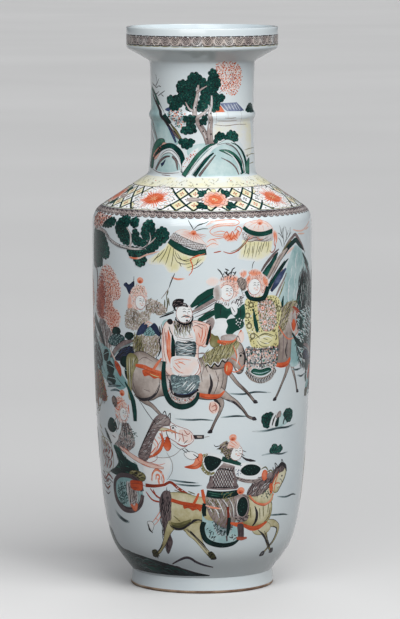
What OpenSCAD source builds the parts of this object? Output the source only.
// Rouleau vase in porcelain: dish mouth, straight neck with a raised rib, sloping shoulder,
// long body that curves in over a low foot ring.
// The vase is thrown in sections, luted together with slip on bevelled edges, then glazed.
// Driving sizes are those of the glazed surface; the clay lies one glaze coat below it.
// Outlines are half sections, [radius, height], turned about the upright axis.

/* [Foot and base] */
// Outer diameter of the foot ring at its lower edge
foot_d = 154; // [144:1:162]
// Height of the foot ring up to the crease under the body
foot_h = 16.5; // [14:0.5:20]
// How much the radius of the foot narrows from its lower edge up to the crease
foot_taper = 1.5; // [0:0.1:3]
// Thickness of the foot ring
foot_wall = 9; // [7:0.5:12]
// Rounding of the foot's lower edges
foot_round = 2.4; // [1:0.1:3]
// Cove between the inside of the foot and the base
foot_cove = 5; // [3:0.5:7]
// Height of the base's underside above the resting edge
base_recess = 12; // [10:0.5:13.5]
// Thickness of the base disc, with its glaze on both sides
base_t = 11; // [9:0.5:14]
// Diameter of the base disc at its lower edge
base_disc_d = 142; // [138:1:146]

/* [Body] */
// Largest diameter of the body
body_d = 235; // [220:1:250]
// Height from the crease above the foot to the corner of the shoulder
body_h = 386.5; // [340:1:440]
// Length of the upright side below the corner of the shoulder
straight_h = 58; // [40:1:90]
// Diameter at the heel, where the curve over the foot turns into the side
heel_d = 203.5; // [196:0.5:210]
// Height of the heel above the crease
heel_h = 48.5; // [42:0.5:56]
// Slope of the wall where it leaves the foot, from the horizontal
heel_start_angle = 53; // [45:1:60]
// Slope of the wall at the heel, from the horizontal
heel_angle = 76.5; // [70:0.5:82]
// Wall of the body and shoulder
body_wall = 6; // [4:0.5:8]
// Cove between the floor and the wall inside
floor_cove = 12; // [6:1:16]

/* [Shoulder] */
// Rise of the sloping shoulder from its corner to the foot of the neck
shoulder_h = 40; // [30:1:50]
// Rounding of the corner of the shoulder
shoulder_round = 20; // [14:1:26]

/* [Neck] */
// Diameter of the neck at the rib, its narrowest place
neck_d = 109.6; // [100:0.2:116]
// Diameter at the foot of the neck
neck_foot_d = 115.6; // [110:0.2:124]
// Diameter at the top of the neck
neck_top_d = 112.4; // [106:0.2:120]
// Height of the neck from the shoulder to the mouth
neck_h = 120.5; // [100:0.5:150]
// Wall of the neck
neck_wall = 6; // [4:0.5:8]
// Cove where the neck meets the shoulder, and where it meets the mouth
neck_cove = 5; // [3:0.5:8]
// Height of the rib above the middle of the neck
rib_above_middle = 2.75; // [-8:0.25:8]
// Width of the rib
rib_w = 11; // [8:0.5:14]
// How far the rib stands out from the neck
rib_proud = 2.6; // [1:0.1:3.5]
// Depth of the shallow groove that keys the rib into the neck
rib_key = 0.8; // [0.4:0.1:1.5]

/* [Mouth] */
// Outer diameter of the mouth
mouth_d = 162; // [150:0.5:176]
// Height of the bevelled underside of the mouth
mouth_bevel_h = 14; // [10:0.5:20]
// Height of the upright brim above the bevel
brim_h = 22.5; // [16:0.5:30]
// Rounding of the brim's lower corner
brim_round = 4; // [2:0.5:6]
// Thickness of the brim
brim_t = 5; // [4:0.25:6.5]
// Rounding of the lip on both sides
lip_round = 2.2; // [1:0.1:2.4]
// Height of the dish floor's edge above the brim's lower corner
dish_rise = 5; // [4:0.5:8]
// Height at which the dish runs into the neck, above the top of the neck
throat_rise = 5; // [3:0.5:8]
// Rounding inside the dish, at its edge and at its throat
dish_round = 6; // [3:0.5:8]

/* [Glaze and joints] */
// Thickness of the glaze
glaze_t = 0.5; // [0.3:0.05:0.8]
// Height of the bare clay edge that the foot rests on
bare_edge_h = 3.2; // [2.6:0.1:5]
// Thickness of the slip in a joint
slip_t = 1.2; // [0.6:0.1:2]
// How far the slip shrinks back from the faces of the clay in firing
slip_shrink = 0.3; // [0.2:0.05:0.6]
// Slope of the joints' bevelled edges
seam_bevel = 25; // [10:1:30]
// Slope of the base disc's edge, from the upright
base_bevel = 30; // [20:1:36]
// Height of the joint in the middle of the body above the crease
body_seam_at = 190; // [150:1:230]
// Distance of the shoulder's joint below the shoulder's corner
shoulder_seam_drop = 22; // [19:0.5:30]
// Distance of the neck's joint above the foot of the neck
neck_seam_rise = 8; // [6:0.5:14]
// Distance of the mouth's joint below the top of the neck
mouth_seam_drop = 6; // [4:0.5:10]

/* [Hidden] */
$fn = 120;

// Steps along a curve, and the turn of one step along an arc
curve_steps = 16;
arc_step = 10;
// How full each curve is: the length of its handles as a share of its chord
heel_pull = [0.5, 0.45];
side_pull = [0.155, 0.415];

foot_r = foot_d / 2;
foot_top_r = foot_r - foot_taper;
foot_in_r = foot_r - foot_wall;
foot_in_top_r = foot_top_r - foot_wall;
rest_r = foot_r - foot_wall / 2;
body_r = body_d / 2;
heel_r = heel_d / 2;
neck_r = neck_d / 2;
neck_foot_r = neck_foot_d / 2;
neck_top_r = neck_top_d / 2;
mouth_r = mouth_d / 2;
crest_r = mouth_r - brim_t / 2;
base_disc_r = base_disc_d / 2;

heel_z = foot_h + heel_h;
shoulder_z = foot_h + body_h;
neck_z = shoulder_z + shoulder_h;
rib_z = neck_z + neck_h / 2 + rib_above_middle;
rib_lo = rib_z - rib_w / 2;
rib_hi = rib_z + rib_w / 2;
mouth_z = neck_z + neck_h;
brim_z = mouth_z + mouth_bevel_h;
top_z = brim_z + brim_h;
floor_z = base_recess + base_t;
floor_cove_h = floor_cove * 0.7;
shoulder_slope = atan2(shoulder_h, body_r - neck_foot_r);
// Reach of the cutting outlines, past the widest and the highest clay
reach_r = body_d;
reach_z = 2 * top_z;

colour_clay = [0.87, 0.86, 0.83];
colour_slip = [0.78, 0.76, 0.72];
colour_glaze = [0.82, 0.86, 0.90];

// Points and curves
function unit(v) = v / norm(v);
function heading(a) = [cos(a), sin(a)];
function bezier(p, t) =
  pow(1 - t, 3) * p[0] + 3 * pow(1 - t, 2) * t * p[1] + 3 * (1 - t) * t * t * p[2] + pow(t, 3) * p[3];
// Curve from a to b that leaves and arrives at the given headings
function curve(a, head_a, b, head_b, pull) =
  let (chord = norm(b - a))
  let (p = [a, a + pull[0] * chord * heading(head_a), b - pull[1] * chord * heading(head_b), b])
  [for (i = [0 : curve_steps]) bezier(p, i / curve_steps)];
// Arc that rounds the corner b between a and c, kept within its two sides
function corner(a, b, c, r) =
  let (u = unit(a - b), v = unit(c - b))
  let (half = acos(u * v) / 2)
  let (t = min(r / tan(half), 0.48 * min(norm(a - b), norm(c - b))))
  let (rr = t * tan(half), m = b + unit(u + v) * rr / sin(half))
  let (p = b + u * t - m, q = b + v * t - m)
  let (from = atan2(p[1], p[0]))
  let (turn = (atan2(q[1], q[0]) - from + 540) % 360 - 180)
  let (n = ceil(abs(turn) / arc_step))
  [for (i = [0 : n]) m + rr * heading(from + turn * i / n)];
// Outline through points [r, z] and corners [r, z, rounding]
function flat(p) = [p[0], p[1]];
function outline(list) = [
  for (i = [0 : len(list) - 1])
    let (p = list[i])
    each len(p) == 3 ? corner(flat(list[i - 1]), flat(p), flat(list[i + 1]), p[2]) : [p]
];
// Outline moved sideways by d, to the left of its heading
function moved(path, d) = [
  for (i = [0 : len(path) - 1])
    let (t = unit(path[min(i + 1, len(path) - 1)] - path[max(i - 1, 0)]))
    path[i] + d * [-t[1], t[0]]
];
function reversed(list) = [for (i = [len(list) - 1 : -1 : 0]) list[i]];

// Radius of the neck, narrowest at the rib and wider towards both ends
function lower_neck_r(z) = neck_r + (neck_foot_r - neck_r) * pow((rib_lo - z) / (rib_lo - neck_z), 2);
function upper_neck_r(z) = neck_r + (neck_top_r - neck_r) * pow((z - rib_hi) / (mouth_z - rib_hi), 2);
lower_neck_heights = [for (i = [1 : curve_steps / 2 - 1]) neck_z + (rib_lo - neck_z) * i * 2 / curve_steps];
upper_neck_heights = [for (i = [1 : curve_steps / 2 - 1]) rib_hi + (mouth_z - rib_hi) * i * 2 / curve_steps];
// Height of the shoulder's inside at radius r
function shoulder_in_z(r) =
  shoulder_z + (body_r - r) * tan(shoulder_slope) - body_wall / cos(shoulder_slope);

// Side of the body from the crease to the foot of its upright part
crease = [foot_top_r, foot_h];
heel = [heel_r, heel_z];
upright = [body_r, shoulder_z - straight_h];
body_side = concat(
  curve(crease, heel_start_angle, heel, heel_angle, heel_pull),
  [for (p = curve(heel, heel_angle, upright, 90, side_pull)) if (p != heel) p]
);
body_inside = moved(body_side, body_wall);
floor_edge_r = lookup(floor_z, [for (p = body_inside) [p[1], p[0]]]);

// Glazed surface in three runs: under the base, up the outside, and down the inside
under_skin = outline([
  [0, base_recess],
  [foot_in_top_r, base_recess, foot_cove],
  [foot_in_r, 0, foot_round],
  [rest_r, 0]
]);
outer_skin = outline(concat(
  [[rest_r, 0], [foot_r, 0, foot_round]],
  body_side,
  [[body_r, shoulder_z, shoulder_round], [neck_foot_r, neck_z, neck_cove]],
  [for (z = lower_neck_heights) [lower_neck_r(z), z]],
  [[neck_r, rib_lo, rib_w / 4], [neck_r + rib_proud, rib_z, rib_w / 2], [neck_r, rib_hi, rib_w / 4]],
  [for (z = upper_neck_heights) [upper_neck_r(z), z]],
  [[neck_top_r, mouth_z, neck_cove], [mouth_r, brim_z, brim_round], [mouth_r, top_z, lip_round]],
  [[crest_r, top_z]]
));
inner_skin = outline(concat(
  [[crest_r, top_z], [mouth_r - brim_t, top_z, lip_round]],
  [[mouth_r - brim_t, brim_z + dish_rise, dish_round]],
  [[neck_top_r - neck_wall, mouth_z + throat_rise, dish_round]],
  reversed([for (z = upper_neck_heights) [upper_neck_r(z) - neck_wall, z]]),
  reversed([for (z = lower_neck_heights) [lower_neck_r(z) - neck_wall, z]]),
  [[neck_foot_r - neck_wall, shoulder_in_z(neck_foot_r - neck_wall), neck_cove]],
  [[body_r - body_wall, shoulder_in_z(body_r - body_wall), shoulder_round - body_wall]],
  reversed([for (p = body_inside) if (p[1] > floor_z + floor_cove_h) p]),
  [[floor_edge_r, floor_z, floor_cove], [0, floor_z]]
));

// Whole section with its glaze, and the clay alone with its bare resting edge
module skin_section() {
  polygon(concat(under_skin, outer_skin, inner_skin));
}

module bare_edge_zone() {
  square([reach_r, bare_edge_h]);
}

module inset_section(d) {
  polygon(concat(moved(under_skin, d), moved(outer_skin, d), moved(inner_skin, d)));
}

module clay_section() {
  inset_section(glaze_t);
  intersection() {
    skin_section();
    bare_edge_zone();
  }
}

// Glaze along one run of the surface, above the bare edge
module coat_section(run) {
  difference() {
    polygon(concat(run, reversed(moved(run, glaze_t))));
    bare_edge_zone();
  }
}

// Bevelled joints: height of a joint that crosses the outside at [r, z], rising towards the axis
function seam(at, rise = 0) = [for (r = [0, reach_r]) [r, at[1] + rise + (at[0] - r) * tan(seam_bevel)]];
body_seam = [heel_r, foot_h + body_seam_at];
shoulder_seam = [body_r, shoulder_z - shoulder_seam_drop];
neck_seam = [neck_foot_r, neck_z + neck_seam_rise];
rib_seam = [neck_r, rib_z];
mouth_seam = [neck_top_r, mouth_z - mouth_seam_drop];
// The foot's conical seat runs from the crease to the cove under the base
seat_slope = (foot_h - base_recess) / (foot_top_r - foot_in_top_r + foot_cove);
function seat(rise = 0) = [for (r = [0, reach_r]) [r, foot_h + rise + (r - foot_top_r) * seat_slope]];
// The base disc's edge leans inwards from the seat
function disc_edge(out) =
  [for (z = [0, heel_z]) [base_disc_r + out - (z - base_recess) * tan(base_bevel), z]];
axis_line = [[0, 0], [0, heel_z]];
ground = [[0, 0], [reach_r, 0]];
sky = [[0, reach_z], [reach_r, reach_z]];

// Room between two lines that run the same way
module zone(a, b) {
  polygon(concat(a, reversed(b)));
}

// Ring groove that takes the rib
module rib_zone() {
  translate([neck_r - glaze_t - rib_key, rib_lo])
    square([reach_r, rib_w]);
}

// One thrown section: the clay between two joints
module section(lower, upper) {
  intersection() {
    clay_section();
    zone(lower, upper);
  }
}

// Bottom of the vase above the foot's joint, up to the middle joint
module bowl_section() {
  section(seat(slip_t), seam(body_seam));
}

// Slip in the joint between two sections
module slip_section(lower, upper) {
  intersection() {
    inset_section(glaze_t + slip_shrink);
    zone(lower, upper);
  }
}

// Modules of the pieces
module foot_ring() {
  color(colour_clay)
    rotate_extrude()
      section(ground, seat());
}

module base_disc() {
  color(colour_clay)
    rotate_extrude()
      intersection() {
        bowl_section();
        zone(axis_line, disc_edge(0));
      }
}

module lower_body() {
  color(colour_clay)
    rotate_extrude()
      difference() {
        bowl_section();
        zone(axis_line, disc_edge(slip_t));
      }
}

module upper_body() {
  color(colour_clay)
    rotate_extrude()
      section(seam(body_seam, slip_t), seam(shoulder_seam));
}

module shoulder() {
  color(colour_clay)
    rotate_extrude()
      section(seam(shoulder_seam, slip_t), seam(neck_seam));
}

module lower_neck() {
  color(colour_clay)
    rotate_extrude()
      difference() {
        section(seam(neck_seam, slip_t), seam(rib_seam));
        rib_zone();
      }
}

module neck_rib() {
  color(colour_clay)
    rotate_extrude()
      intersection() {
        clay_section();
        rib_zone();
      }
}

module upper_neck() {
  color(colour_clay)
    rotate_extrude()
      difference() {
        section(seam(rib_seam, slip_t), seam(mouth_seam));
        rib_zone();
      }
}

module mouth() {
  color(colour_clay)
    rotate_extrude()
      section(seam(mouth_seam, slip_t), sky);
}

module slip_ring(at) {
  color(colour_slip)
    rotate_extrude()
      slip_section(seam(at), seam(at, slip_t));
}

module foot_slip() {
  color(colour_slip)
    rotate_extrude()
      slip_section(seat(), seat(slip_t));
}

module base_slip() {
  color(colour_slip)
    rotate_extrude()
      intersection() {
        slip_section(seat(slip_t), seam(body_seam));
        zone(disc_edge(0), disc_edge(slip_t));
      }
}

module body_slip() {
  slip_ring(body_seam);
}

module shoulder_slip() {
  slip_ring(shoulder_seam);
}

module neck_slip() {
  slip_ring(neck_seam);
}

module rib_slip() {
  color(colour_slip)
    rotate_extrude()
      difference() {
        slip_section(seam(rib_seam), seam(rib_seam, slip_t));
        rib_zone();
      }
}

module mouth_slip() {
  slip_ring(mouth_seam);
}

module glaze_coat(run) {
  color(colour_glaze)
    rotate_extrude()
      coat_section(run);
}

module outer_glaze() {
  glaze_coat(outer_skin);
}

module inner_glaze() {
  glaze_coat(inner_skin);
}

module base_glaze() {
  glaze_coat(under_skin);
}

foot_ring();
base_disc();
lower_body();
upper_body();
shoulder();
lower_neck();
neck_rib();
upper_neck();
mouth();
foot_slip();
base_slip();
body_slip();
shoulder_slip();
neck_slip();
rib_slip();
mouth_slip();
outer_glaze();
inner_glaze();
base_glaze();
